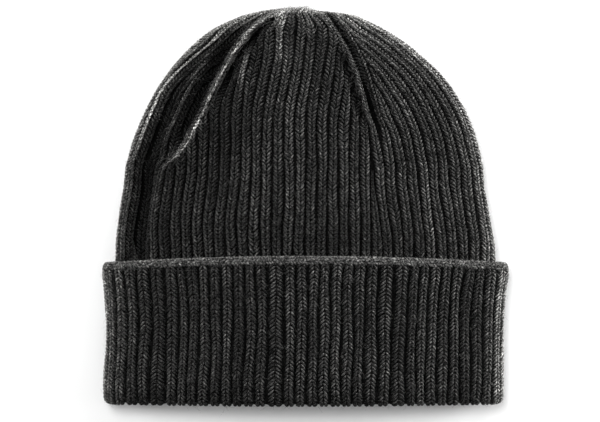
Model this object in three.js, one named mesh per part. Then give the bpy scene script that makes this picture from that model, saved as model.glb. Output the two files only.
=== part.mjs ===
// A knitted wool beanie with a turned-up cuff, lying flat on its back.
// +Z points up off the surface, +Y runs from the hem to the gathered tip, +X is to the right.
import * as THREE from 'three';

// Cuff, in millimetres
const CUFF_WIDTH = 221.6; // across the side folds, laid flat
const CUFF_HEIGHT = 77; // hem to rim, at the side folds
const CUFF_SIDE_RADIUS = 9.5; // of the round side folds
const CUFF_DOME = 9; // how much the front stands up in the middle
const CUFF_WALL = 4.2;
const RIM_BOW = 4; // the rim reaches this much further up in the middle
const BOW_FADE = 1.6; // this many cuff heights up, the crown no longer follows the rim's bow
const LIP_HEIGHT = 6; // where the turned-up fabric meets the crown, inside the hem

// Crown, in millimetres
const CROWN_WIDTH = 206; // across the side folds, above the cuff
const CROWN_RISE = 139.1; // rim to tip
const CROWN_SIDE_RADIUS = 7.5;
const CROWN_DOME = 2 * CUFF_SIDE_RADIUS + CUFF_DOME - 2 * CROWN_SIDE_RADIUS; // as high as the cuff
const CROWN_WALL = 3.2;
const TIP_SHIFT = -3; // the gathered tip lies a little left of the middle
const TIP_START = 0.969; // and the shift sets in at this share of the rise
const DOME_POWER = 1.5; // how soon the dome falls off to the sides

// Room between the two layers, in millimetres
const CLEARANCE = 0.3;
const LIP_EASE = 1.6; // spare room at the side folds, by the lip
const RIM_EASE = 2.4; // and by the rim

// Ribs, in millimetres
const RIB_RELIEF = 1.6; // trough below crest
const RIB_PITCH = 5.9; // natural width of a rib
const NARROWEST_RIB = 1.3; // a rib that gets narrower than this has run out
const CUFF_RIBS = 72; // all round
const TIP_RIBS = 38; // left at the tip, all round
const CREST_START = 0.3; // the crest's share of a rib's width runs from here
const CREST_END = 0.7; // to here

// A short table: its columns by name, then its rows
const table = (columns, rows) =>
  rows.map((row) => Object.fromEntries(columns.map((column, index) => [column, row[index]])));

// Cuff outline: rise as a share of the cuff's height, sides as shares of half its width
const CUFF_SECTIONS = table(
  ['rise', 'left', 'right'],
  [
    [0.0, 0.99, 0.97],
    [0.16, 0.995, 0.973],
    [0.5, 0.98, 0.974],
    [0.78, 0.99, 0.985],
    [0.93, 1.0, 1.0],
    [1.0, 0.998, 0.998],
  ],
);

// Crown: rise as a share of its rise above the rim, left and right as shares of half its width,
// side and dome as shares of its side radius and dome. inCuff says how much a section still has
// the cuff's form. The seams, where ribs run out, and the furrow are shares of the local half.
const CROWN_SECTIONS = table(
  ['rise', 'left', 'right', 'side', 'dome', 'inCuff', 'seamLeft', 'seamRight', 'furrow'],
  [
    [0.0, 1.0, 0.99, 1, 1, 1, 0.82, 0.458, 0.89],
    [0.06, 1.0, 0.988, 1, 1, 0.8, 0.822, 0.458, 0.89],
    [0.17, 0.988, 0.973, 1, 1, 0.15, 0.832, 0.45, 0.889],
    [0.31, 0.962, 0.948, 1, 1, 0, 0.825, 0.438, 0.89],
    [0.37, 0.955, 0.943, 1, 1, 0, 0.81, 0.436, 0.887],
    [0.41, 0.943, 0.932, 1, 1, 0, 0.757, 0.433, 0.879],
    [0.5, 0.905, 0.9, 1, 1, 0, 0.7, 0.425, 0.866],
    [0.59, 0.852, 0.85, 1, 0.98, 0, 0.672, 0.4, 0.86],
    [0.66, 0.802, 0.796, 1, 0.93, 0, 0.657, 0.398, 0.86],
    [0.73, 0.742, 0.728, 1, 0.85, 0, 0.645, 0.402, 0.825],
    [0.8, 0.665, 0.63, 1, 0.72, 0, 0.643, 0.405, 0.76],
    [0.865, 0.577, 0.522, 1, 0.52, 0, 0.64, 0.4, 0.7],
    [0.915, 0.485, 0.41, 0.99, 0.33, 0, 0.635, 0.41, 0.68],
    [0.947, 0.395, 0.322, 0.95, 0.2, 0, 0.63, 0.43, 0.67],
    [0.969, 0.315, 0.245, 0.86, 0.1, 0, 0.625, 0.45, 0.665],
    [0.984, 0.208, 0.08, 0.66, 0.04, 0, 0.62, 0.46, 0.66],
    [0.995, 0.08, 0.045, 0.36, 0.0, 0, 0.62, 0.46, 0.66],
  ],
);

// Folds on the front: the ridge, the valley beside it, the furrow and the groove. Each follows a
// line of the table above, on the left (-1) or the right (1). It lies beside the line by offset,
// in millimetres, spreads over width, and goes up or down by height, at the rises where it
// starts, is full, begins to fade and ends.
const FOLDS = table(
  ['line', 'side', 'offset', 'width', 'height', 'start', 'full', 'fade', 'end'],
  [
    ['seamLeft', -1, 2.5, 3.2, 3, 0.33, 0.42, 0.9, 0.98],
    ['seamLeft', -1, -4.8, 4.8, -6, 0.34, 0.46, 0.8, 0.95],
    ['furrow', -1, 0, 4, -4.5, 0.0, 0.1, 0.5, 0.75],
    ['seamRight', 1, 0, 4.5, -3, 0.42, 0.62, 0.9, 0.98],
  ],
);

// Ribs from line to line round the crown, starting at the front's left seam. They are counted
// from the anchor line. At the other end they run out, beside the last one, which follows the
// seam all the way where edge says so.
const SPANS = table(
  ['from', 'to', 'ribs', 'anchor', 'edge'],
  [
    ['frontLeft', 'front', 14, 'to', true],
    ['front', 'frontRight', 8, 'from', true],
    ['frontRight', 'right', 10, 'to', true],
    ['right', 'backRight', 4, 'from', false],
    ['backRight', 'back', 14, 'to', true],
    ['back', 'backLeft', 8, 'from', true],
    ['backLeft', 'furrow', 13, 'to', true],
    ['furrow', 'frontLeft', 4, 'from', false],
  ],
);
const SIDE_RIBS = 4; // between the right side fold and the back's right seam

// Ribs of the cuff's front that stretched wider or narrower than the rest, from the left fold
const ODD_RIBS = table(
  ['rib', 'width'],
  [
    [4, 1.15],
    [5, 1.35],
    [6, 1.1],
    [7, 0.8],
    [15, 1.5],
    [23, 1.15],
    [24, 1.25],
    [25, 1.35],
    [26, 0.85],
    [27, 0.85],
  ],
);

// Where the rings of the two skins lie
const CROWN_HIDDEN_RISES = [0, 0.5]; // shares of the way from the lip to the rim
const CROWN_OUTER_ROWS = [0, 1.4, 3, 4, 4.7, 5.5, 6.5, 7.5, 8.6, 9.7, 10.8, 11.9, 13, 14, 15, 16];
const CROWN_INNER_ROWS = [0, 2, 4, 6, 8, 10, 11.5, 13];
const CUFF_LEG_RISES = [0.3, 0.62, 0.93];
const FOLD_STEPS = 3; // rings round half the hem's fold
const ARC_STEPS = 10; // points round a quarter of a side fold
const FLAT_STEPS = 70; // points across the front and the back
const HALVINGS = 40; // steps of a search in a table

// The crown's inner skin stays further below the outer one near the tip: from this share of its
// length on, by up to this many walls
const INNER_STEEP = 0.75;
const INNER_DROP = 0.6;

// The cuff's rim from outside to inside: below its top, in from the outside and relief, as shares
// of the wall and of the relief
const RIM_RINGS = table(
  ['below', 'inset', 'relief'],
  [
    [0.15, 0.2, 0.6],
    [0, 0.5, 0],
    [0.3, 1, 0],
  ],
);

// A value between a table's rows, without overshoot
function between(rows, column, place) {
  const last = rows.length - 1;
  const at = Math.min(Math.max(place, 0), last);
  const low = Math.min(Math.floor(at), last - 1);
  const step = (row) => rows[row + 1][column] - rows[row][column];
  const slope = (row) => {
    if (row === 0) return step(0);
    if (row === last) return step(last - 1);
    const before = step(row - 1);
    const after = step(row);
    return before * after > 0 ? (2 * before * after) / (before + after) : 0;
  };
  const part = at - low;
  const rest = 1 - part;
  return (
    rows[low][column] * rest * rest * (1 + 2 * part) +
    rows[low + 1][column] * part * part * (1 + 2 * rest) +
    slope(low) * part * rest * rest -
    slope(low + 1) * rest * part * part
  );
}

// The place in a table's rows of a value in one of its rising columns
function placeOf(rows, column, value) {
  let low = 0;
  let high = rows.length - 1;
  for (let step = 0; step < HALVINGS; step += 1) {
    const middle = (low + high) / 2;
    if (between(rows, column, middle) < value) low = middle;
    else high = middle;
  }
  return (low + high) / 2;
}

const smooth = (from, to, value) => THREE.MathUtils.smoothstep(value, from, to);
const { lerp } = THREE.MathUtils;

// A section lies at one height along Y. middle is the height of its side folds above the surface.
function cuffSection(y) {
  const place = placeOf(CUFF_SECTIONS, 'rise', y / CUFF_HEIGHT);
  return {
    y,
    left: (CUFF_WIDTH / 2) * between(CUFF_SECTIONS, 'left', place),
    right: (CUFF_WIDTH / 2) * between(CUFF_SECTIONS, 'right', place),
    radius: CUFF_SIDE_RADIUS,
    middle: CUFF_SIDE_RADIUS,
    dome: CUFF_DOME,
    folds: [],
  };
}

// The crown's section where it lies inside the cuff
function hiddenSection(y) {
  const cuff = cuffSection(Math.min(y, CUFF_HEIGHT));
  const inset = CUFF_WALL + CLEARANCE;
  const ease = lerp(LIP_EASE, RIM_EASE, Math.min(y / CUFF_HEIGHT, 1));
  return {
    ...cuff,
    y,
    left: cuff.left - inset - ease,
    right: cuff.right - inset - ease,
    radius: cuff.radius - inset,
    seamLeft: CROWN_SECTIONS[0].seamLeft,
    seamRight: CROWN_SECTIONS[0].seamRight,
    furrow: CROWN_SECTIONS[0].furrow,
  };
}

// The crown's section above the rim, at a place in the table's rows
function crownSection(place) {
  const value = (column) => between(CROWN_SECTIONS, column, place);
  const rise = value('rise');
  const y = CUFF_HEIGHT + rise * CROWN_RISE;
  const hidden = hiddenSection(y);
  const share = value('inCuff');
  const shift = TIP_SHIFT * smooth(TIP_START, 1, rise);
  const section = {
    y,
    left: lerp((CROWN_WIDTH / 2) * value('left'), hidden.left, share) - shift,
    right: lerp((CROWN_WIDTH / 2) * value('right'), hidden.right, share) + shift,
    radius: lerp(CROWN_SIDE_RADIUS * value('side'), hidden.radius, share),
    middle: lerp(CROWN_SIDE_RADIUS, hidden.middle, share),
    dome: lerp(CROWN_DOME * value('dome'), hidden.dome, share),
    seamLeft: value('seamLeft'),
    seamRight: value('seamRight'),
    furrow: value('furrow'),
  };
  section.folds = FOLDS.map((fold) => {
    const half = fold.side < 0 ? section.left : section.right;
    const grown = smooth(fold.start, fold.full, rise) * (1 - smooth(fold.fade, fold.end, rise));
    return {
      centre: fold.side * half * section[fold.line] + fold.offset,
      width: fold.width,
      height: fold.height * grown,
    };
  });
  return section;
}

// The section's closed outline at crest level: over the front from the left fold to the right
// one, and back underneath, with the length run so far at each point.
function outlineOf(section, inset = 0) {
  const left = section.left - inset;
  const right = section.right - inset;
  const radius = section.radius - inset;
  const across = [];
  for (let step = 0; step <= ARC_STEPS; step += 1) {
    const angle = (step / ARC_STEPS) * (Math.PI / 2);
    across.push({ x: -left + radius * (1 - Math.cos(angle)), half: radius * Math.sin(angle) });
  }
  for (let step = 1; step < FLAT_STEPS; step += 1) {
    across.push({ x: lerp(-left + radius, right - radius, step / FLAT_STEPS), half: radius });
  }
  for (let step = ARC_STEPS; step >= 0; step -= 1) {
    const angle = (step / ARC_STEPS) * (Math.PI / 2);
    across.push({ x: right - radius * (1 - Math.cos(angle)), half: radius * Math.sin(angle) });
  }
  const front = across.map(({ x, half }) => {
    const share = Math.min(Math.abs(x) / (x < 0 ? left : right), 1);
    let z = section.middle + half + section.dome * (1 - share * share) ** DOME_POWER;
    for (const fold of section.folds) {
      const away = (x - fold.centre) / fold.width;
      z += fold.height * Math.exp(-away * away) * (half / radius);
    }
    return { x, z };
  });
  const back = across.map(({ x, half }) => ({ x, z: section.middle - half }));
  const points = [...front, ...back.reverse().slice(1, -1)];
  const runs = [0];
  for (let index = 0; index < points.length; index += 1) {
    const next = points[(index + 1) % points.length];
    runs.push(runs[index] + Math.hypot(next.x - points[index].x, next.z - points[index].z));
  }
  const frontCount = across.length;
  return { points, runs, length: runs[points.length], rightFold: runs[frontCount - 1], frontCount };
}

// The point of an outline after a given run, and the outward direction there
function pointAt(outline, run) {
  const { points, runs, length } = outline;
  const wanted = ((run % length) + length) % length;
  let low = 0;
  let high = points.length;
  while (high - low > 1) {
    const middle = (low + high) >> 1;
    if (runs[middle] <= wanted) low = middle;
    else high = middle;
  }
  const count = points.length;
  const part = (wanted - runs[low]) / (runs[low + 1] - runs[low]);
  const direction = (index) => {
    const before = points[(index + count - 1) % count];
    const after = points[(index + 1) % count];
    const size = Math.hypot(after.x - before.x, after.z - before.z);
    return { x: -(after.z - before.z) / size, z: (after.x - before.x) / size };
  };
  const start = points[low];
  const end = points[(low + 1) % count];
  const startOut = direction(low);
  const endOut = direction((low + 1) % count);
  return {
    x: lerp(start.x, end.x, part),
    z: lerp(start.z, end.z, part),
    outX: lerp(startOut.x, endOut.x, part),
    outZ: lerp(startOut.z, endOut.z, part),
  };
}

// The run at which an outline's front, or back, passes a given x
function runAt(outline, x, onFront) {
  const { points, runs, frontCount } = outline;
  const first = onFront ? 0 : frontCount - 1;
  const last = onFront ? frontCount - 1 : points.length;
  for (let index = first; index < last; index += 1) {
    const start = points[index].x;
    const end = points[(index + 1) % points.length].x;
    if ((start <= x && x <= end) || (end <= x && x <= start)) {
      return lerp(runs[index], runs[index + 1], end === start ? 0 : (x - start) / (end - start));
    }
  }
  return runs[last];
}

// The troughs round one ring of the crown, with the rib number of each, from the front's left
// seam. A rib that has run out has no trough of its own.
function crownTroughs(section, outline) {
  const pitch = Math.min(RIB_PITCH, outline.length / TIP_RIBS);
  const start = runAt(outline, -section.left * section.seamLeft, true);
  const after = (run) => (run - start + outline.length) % outline.length;
  const lines = {
    front: after(runAt(outline, 0, true)),
    frontRight: after(runAt(outline, section.right * section.seamRight, true)),
    right: after(outline.rightFold),
    backRight: after(outline.rightFold + SIDE_RIBS * pitch),
    back: after(runAt(outline, 0, false)),
    backLeft: after(runAt(outline, -section.left * section.seamRight, false)),
    furrow: after(runAt(outline, -section.left * section.furrow, true)),
  };
  const troughs = [];
  let first = 0;
  for (const span of SPANS) {
    const from = span.from === 'frontLeft' ? 0 : lines[span.from];
    const to = span.to === 'frontLeft' ? outline.length : lines[span.to];
    const width = Math.max(pitch, (to - from) / span.ribs);
    const edge = span.edge ? width : 0;
    troughs.push({ rib: first, run: start + from });
    for (let rib = 1; rib < span.ribs; rib += 1) {
      const left = span.anchor === 'from' ? span.ribs - rib : rib; // ribs from here to the seam
      const room = to - from - (span.ribs - left) * width;
      const last = span.edge && left === 1;
      if (last || room > edge + NARROWEST_RIB) {
        const away = last ? edge : room;
        const run = span.anchor === 'from' ? to - away : from + away;
        troughs.push({ rib: first + rib, run: start + run });
      }
    }
    first += span.ribs;
  }
  return troughs;
}

// The troughs round the cuff, the same in every ring
function cuffTroughs(outline) {
  const widths = Array.from({ length: CUFF_RIBS }, () => 1);
  for (const odd of ODD_RIBS) widths[odd.rib] = odd.width;
  const half = CUFF_RIBS / 2;
  const sums = [0];
  for (const width of widths) sums.push(sums[sums.length - 1] + width);
  return widths.map((width, rib) => {
    if (rib < half) return { rib, run: (sums[rib] / sums[half]) * outline.rightFold };
    const share = (sums[rib] - sums[half]) / (sums[CUFF_RIBS] - sums[half]);
    return { rib, run: lerp(outline.rightFold, outline.length, share) };
  });
}

// How far everything at a place moves along Y with the rim's bow
function bowAt(x, y) {
  const share = Math.min(Math.abs(x) / (CUFF_WIDTH / 2), 1);
  const above = 1 - smooth(CUFF_HEIGHT, CUFF_HEIGHT * BOW_FADE, y);
  const grown = y < CUFF_HEIGHT ? Math.max(y, 0) / CUFF_HEIGHT : above;
  return RIM_BOW * grown * (1 - share * share);
}

// One ring of a skin: for each rib a trough and both edges of its crest, or with ribbed false
// only one point. inset moves it in from crest level, along the outward direction.
function ring(section, outline, troughs, ribs, options) {
  const { inset = 0, relief = RIB_RELIEF, ribbed = true, y = section.y } = options;
  const points = [];
  troughs.forEach((trough, index) => {
    const next = troughs[index + 1] ?? { rib: ribs, run: troughs[0].run + outline.length };
    const add = (share, depth) => {
      const at = pointAt(outline, lerp(trough.run, next.run, share));
      const x = at.x - at.outX * (inset + depth);
      const z = at.z - at.outZ * (inset + depth);
      points.push({ rib: lerp(trough.rib, next.rib, share), x, y: y + bowAt(x, y), z });
    };
    add(0, ribbed ? relief : 0);
    if (ribbed) {
      add(CREST_START, 0);
      add(CREST_END, 0);
    }
  });
  return points;
}

// A closed body from a chain of rings, each joined to the next. It closes on itself, or ends in
// a point at both ends.
function skinned(rings, ribs, ends = null) {
  const positions = [];
  const faces = [];
  const starts = rings.map((points) => {
    const start = positions.length / 3;
    for (const point of points) positions.push(point.x, point.y, point.z);
    return start;
  });
  const join = (lower, upper) => {
    const first = rings[lower];
    const second = rings[upper];
    const rib = (points, index) => {
      const over = index >= points.length;
      return over ? points[index - points.length].rib + ribs : points[index].rib;
    };
    let low = 0;
    let high = 0;
    while (low < first.length || high < second.length) {
      const a = starts[lower] + (low % first.length);
      const b = starts[upper] + (high % second.length);
      const nextLow = low < first.length ? rib(first, low + 1) : Infinity;
      const nextHigh = high < second.length ? rib(second, high + 1) : Infinity;
      if (nextLow <= nextHigh) {
        faces.push(a, starts[lower] + ((low + 1) % first.length), b);
        low += 1;
      } else {
        faces.push(a, starts[upper] + ((high + 1) % second.length), b);
        high += 1;
      }
    }
  };
  for (let index = 0; index + 1 < rings.length; index += 1) join(index, index + 1);
  if (ends === null) {
    join(rings.length - 1, 0);
  } else {
    const pole = positions.length / 3;
    for (const end of ends) positions.push(end.x, end.y, end.z);
    const firstCount = rings[0].length;
    for (let index = 0; index < firstCount; index += 1) {
      faces.push(pole, starts[0] + ((index + 1) % firstCount), starts[0] + index);
    }
    const lastCount = rings[rings.length - 1].length;
    const lastStart = starts[starts.length - 1];
    for (let index = 0; index < lastCount; index += 1) {
      faces.push(lastStart + index, lastStart + ((index + 1) % lastCount), pole + 1);
    }
  }
  const geometry = new THREE.BufferGeometry();
  geometry.setAttribute('position', new THREE.Float32BufferAttribute(positions, 3));
  geometry.setIndex(faces);
  geometry.computeVertexNormals();
  return geometry;
}

function crownGeometry() {
  const ribs = SPANS.reduce((sum, span) => sum + span.ribs, 0);
  const lowest = LIP_HEIGHT + CLEARANCE;
  const hidden = CROWN_HIDDEN_RISES.map((share) => hiddenSection(lerp(lowest, CUFF_HEIGHT, share)));
  const outer = [...hidden, ...CROWN_OUTER_ROWS.map(crownSection)].map((section, index) => {
    const outline = outlineOf(section);
    const gathered = Math.min(1, outline.length / TIP_RIBS / RIB_PITCH);
    const options = { relief: RIB_RELIEF * gathered, ribbed: index >= hidden.length };
    return ring(section, outline, crownTroughs(section, outline), ribs, options);
  });
  const innerSections = [hidden[0], ...CROWN_INNER_ROWS.map(crownSection)];
  const tipY = CUFF_HEIGHT + CROWN_RISE;
  const innerTip = tipY - CROWN_WALL;
  const top = innerSections[innerSections.length - 1];
  const inner = innerSections.map((section) => {
    const outline = outlineOf(section, CROWN_WALL);
    const whole = outlineOf(section);
    const shorter = outline.length / whole.length;
    const troughs = crownTroughs(section, whole).map(({ rib, run }) => ({ rib, run: run * shorter }));
    const steep = smooth(INNER_STEEP, 1, (section.y - CUFF_HEIGHT) / (top.y - CUFF_HEIGHT));
    const y = section.y - steep * INNER_DROP * CROWN_WALL;
    return ring(section, outline, troughs, ribs, { ribbed: false, y });
  });
  const ends = [
    { x: TIP_SHIFT, y: innerTip, z: CROWN_SIDE_RADIUS },
    { x: TIP_SHIFT, y: tipY, z: CROWN_SIDE_RADIUS },
  ];
  return skinned([...inner.reverse(), ...outer], ribs, ends);
}

function cuffGeometry() {
  const foldRadius = (CROWN_WALL + CLEARANCE + CUFF_WALL) / 2;
  const deepest = 2 * foldRadius;
  const around = (y, options) => {
    const section = cuffSection(y);
    const outline = outlineOf(section);
    return ring(section, outline, cuffTroughs(outline), CUFF_RIBS, { y, ...options });
  };
  const rings = [around(LIP_HEIGHT, { inset: deepest, ribbed: false })];
  for (let step = 0; step <= 2 * FOLD_STEPS; step += 1) {
    const angle = (step / (2 * FOLD_STEPS)) * Math.PI;
    const options = { inset: foldRadius * (1 + Math.cos(angle)), relief: RIB_RELIEF * Math.sin(angle / 2) };
    rings.push(around(foldRadius * (1 - Math.sin(angle)), { ...options, ribbed: step >= FOLD_STEPS }));
  }
  for (const rise of CUFF_LEG_RISES) rings.push(around(rise * CUFF_HEIGHT, {}));
  for (const { below, inset, relief } of RIM_RINGS) {
    const options = { inset: CUFF_WALL * inset, relief: RIB_RELIEF * relief, ribbed: relief > 0 };
    rings.push(around(CUFF_HEIGHT - CUFF_WALL * below, options));
  }
  rings.push(around(CUFF_HEIGHT / 2, { inset: CUFF_WALL, ribbed: false }));
  rings.push(around(LIP_HEIGHT, { inset: CUFF_WALL, ribbed: false }));
  return skinned(rings, CUFF_RIBS);
}

const wool = (colour) => new THREE.MeshStandardMaterial({ color: colour, roughness: 0.95, metalness: 0 });
const beanie = new THREE.Group();
const pieces = { crown: [crownGeometry(), 0x2d2c2b], cuff: [cuffGeometry(), 0x302f2e] };
for (const [name, [geometry, colour]] of Object.entries(pieces)) {
  const mesh = new THREE.Mesh(geometry, wool(colour));
  mesh.name = name;
  beanie.add(mesh);
}

// The origin is on the surface, under the middle of the beanie
const extent = new THREE.Box3().setFromObject(beanie);
const middle = extent.getCenter(new THREE.Vector3());
beanie.position.set(-middle.x, -middle.y, -extent.min.z);

export default beanie;
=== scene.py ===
"""A knitted wool beanie with a turned-up cuff, lying flat on its back on a pale floor."""

import math

import bpy
import numpy as np
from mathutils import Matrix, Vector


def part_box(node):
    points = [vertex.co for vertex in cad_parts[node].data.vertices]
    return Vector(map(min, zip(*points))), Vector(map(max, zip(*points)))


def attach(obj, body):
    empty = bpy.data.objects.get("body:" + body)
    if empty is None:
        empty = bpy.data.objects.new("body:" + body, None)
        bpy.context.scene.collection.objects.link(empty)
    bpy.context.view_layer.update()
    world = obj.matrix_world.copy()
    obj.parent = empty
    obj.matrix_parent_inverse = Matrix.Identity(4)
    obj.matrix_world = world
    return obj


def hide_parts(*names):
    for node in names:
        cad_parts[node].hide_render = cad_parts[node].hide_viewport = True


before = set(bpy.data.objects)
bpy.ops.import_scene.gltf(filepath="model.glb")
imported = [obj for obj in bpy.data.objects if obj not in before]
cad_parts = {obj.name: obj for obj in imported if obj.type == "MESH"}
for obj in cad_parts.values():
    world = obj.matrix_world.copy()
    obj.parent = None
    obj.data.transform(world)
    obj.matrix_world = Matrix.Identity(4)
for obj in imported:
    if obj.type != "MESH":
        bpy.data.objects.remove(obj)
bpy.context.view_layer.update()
crown_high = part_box("crown")[1]

MM = 0.001

# Cuff, in millimetres
CUFF_WIDTH = 221.6
CUFF_HEIGHT = 77.0
CUFF_SIDE_RADIUS = 9.5
CUFF_DOME = 9.0
CUFF_WALL = 4.2
RIM_BOW = 4.0
BOW_END = 1.6  # the crown bows along with the rim, less and less up to this many cuff heights
LIP_HEIGHT = 6.0
SHOULDER_HEIGHT = 9.0  # the outside leans in over this height below the rim
SHOULDER_INSET = 1.2  # by this much
RIM_ROUND = 4.2  # the rim rounds off over this length

# Crown, in millimetres
CROWN_WIDTH = 206.0
CROWN_RISE = 139.1
CROWN_SIDE_RADIUS = 7.5
CROWN_DOME = 2 * CUFF_SIDE_RADIUS + CUFF_DOME - 2 * CROWN_SIDE_RADIUS
CROWN_WALL = 3.2
DOME_POWER = 1.5  # how soon the front's dome falls away to the sides
TIP_SHIFT = -3.0  # the tip's place along X
TIP_SHIFT_START = 0.969  # which takes effect above this share of the crown's rise
CAP_ANGLES = (0.35, 0.7, 1.05, 1.35)  # rings of the round cap that closes the tip, in radians

# Room between the layers, in millimetres
CLEARANCE = 0.3
LIP_EASE = 1.6
RIM_EASE = 2.4

# Ribs, in millimetres
ROW_STEP = 0.8  # the skins' rows lie this far apart
RIB_PITCH = 5.9
RIB_DEPTH = 2.7  # trough below crest
RIB_POWER = 3.2  # how square a rib's profile is
CUFF_RIBS = 72
TIP_RIBS = 38
SIDE_RIBS = 4
FRONT_LEAN = 6.0  # near the top the front's ribs lean this far to the right
LEAN_SPAN = (0.5, 0.88, 0.9, 1)  # the shares of the rise where that starts, is full, fades and ends
WANDER = 0.06  # troughs sway by this share of a rib's width
LONG_SWAY = 15.0  # along these lengths
SHORT_SWAY = 6.0
SHORT_SWAY_SHARE = 0.6  # the short sway against the long one
CROWN_RELIEF = 0.88  # the crown's ribs are stretched a little flatter than the cuff's
PITCH_POWER = 0.6  # where the pitch is narrower the relief is lower, by this power
NARROW_POWER = 0.45  # and a rib that runs out is lower, by this power of its width
RIM_RELIEF = 0.12  # share of the ribs' relief that is left at the rim
RIM_FADE = 5.0  # millimetres over which they flatten out there
HEM_RELIEF = 0.28  # and the same at the hem
HEM_FADE = 5.0

# Stitches, in millimetres. Each kind of noise is a share of what it varies.
COURSE = 2.0  # one row of stitches
COURSE_NOISE = 0.05
YARN_RADIUS = 0.5
YARN_NOISE = 0.05
SHEET_DEPTH = 0.85  # the fabric's body lies this far below the top of the stitches
LEG_REACH = 1.45  # a stitch's leg is this many courses long
REACH_NOISE = 0.06
LEG_START = 0.035  # it starts this share of the rib's width from the middle
LEG_SPREAD = 0.36  # and reaches this share to the side
SPREAD_NOISE = 0.05
COLUMN_SWAY = 0.04  # a rib's stitches sway by this share of its width
COLUMN_LENGTH = 11.0
COLUMN_NOISE = 0.012
PHASE_RANGE = 6.0  # radians within which a rib's sways start
SKIP_WIDTH = 0.22  # a rib narrower than this share of its pitch has no stitches
THIN_SHARE = 0.35  # stitches on narrow ribs are thinner, down to this share
PITCH_EASE = 0.3

# How light the wool is painted, as a factor of its colour: painted shade and painted highlights, and the
# wool's random tone
PAINTED_SHADE_UNDER_STITCHES = 0.2  # painted shade: the fabric under the stitches is painted dark
PAINTED_TROUGH_SHADE = 0.05  # and painted darker deep in a trough
DEEP_SHADE = 0.2  # no stitch is made where a fold's painted shade is darker than this, and the painted-dark fabric shows
PAINTED_EDGE_HIGHLIGHT = 3.8  # painted highlight: the wool near the outline, on its upper side, is painted this much lighter
EDGE_DEPTH = 5.5  # which fades by e times over this many millimetres
LEG_TONE = 0.26  # stitches differ this much in tone, as a share
RIB_TONE = 0.17  # ribs too
TOP_TONE = 1.4  # and this many times more towards the crown's top
TOP_START = 150.0  # from this far above the hem
RUN_TONE = 0.15  # and each rib varies this much along its run
RUN_LENGTHS = (9.0, 23.0)  # over these lengths
PAINTED_GROOVE_SHADE = 0.6  # painted shade: stitches are painted this share darker beside a trough
GROOVE_REACH = 0.42  # which is this share of the rib's width from its middle
GROOVE_POWER = 3
PAINTED_UNDER_SHADE = 0.24  # painted shade on the underside of a stitch
PAINTED_HEM_SHADE = 0.56  # painted shade: the hem turns under, and is painted darker by this factor
PAINTED_HEM_SHADE_SPAN = (-4, 16)  # in full at the first of these heights over the hem, and not past the second

# The cuff's reach to the left and right at each share of its height, as shares of half its width
CUFF_COLUMNS = ("rise", "left", "right")
CUFF_ROWS = (
    (0.0, 0.99, 0.97),
    (0.16, 0.995, 0.973),
    (0.5, 0.98, 0.974),
    (0.78, 0.99, 0.985),
    (0.93, 1.0, 1.0),
    (1.0, 0.998, 0.998),
)

# The same of the crown, then its side radius and dome, how far it keeps to the form it has in the cuff,
# and where its lines run, as shares of its reach
CROWN_COLUMNS = ("rise", "left", "right", "side", "dome", "in_cuff", "seam_left", "seam_right", "furrow")
CROWN_ROWS = (
    (0.0, 1.0, 0.99, 1, 1, 1, 0.82, 0.458, 0.89),
    (0.06, 1.0, 0.988, 1, 1, 0.8, 0.822, 0.458, 0.89),
    (0.17, 0.988, 0.973, 1, 1, 0.15, 0.832, 0.45, 0.889),
    (0.31, 0.962, 0.948, 1, 1, 0, 0.825, 0.438, 0.89),
    (0.37, 0.955, 0.943, 1, 1, 0, 0.81, 0.436, 0.887),
    (0.41, 0.943, 0.932, 1, 1, 0, 0.757, 0.433, 0.879),
    (0.5, 0.905, 0.9, 1, 1, 0, 0.7, 0.425, 0.866),
    (0.59, 0.852, 0.85, 1, 0.98, 0, 0.672, 0.4, 0.86),
    (0.66, 0.802, 0.796, 1, 0.93, 0, 0.657, 0.398, 0.86),
    (0.73, 0.742, 0.728, 1, 0.85, 0, 0.645, 0.402, 0.825),
    (0.8, 0.665, 0.63, 1, 0.72, 0, 0.643, 0.405, 0.76),
    (0.865, 0.577, 0.522, 1, 0.52, 0, 0.64, 0.4, 0.7),
    (0.915, 0.485, 0.41, 0.99, 0.33, 0, 0.635, 0.41, 0.68),
    (0.947, 0.395, 0.322, 0.95, 0.2, 0, 0.63, 0.43, 0.67),
    (0.969, 0.315, 0.245, 0.86, 0.1, 0, 0.625, 0.45, 0.665),
    (0.984, 0.208, 0.08, 0.66, 0.04, 0, 0.62, 0.46, 0.66),
    (0.995, 0.08, 0.045, 0.36, 0.0, 0, 0.62, 0.46, 0.66),
)
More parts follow.
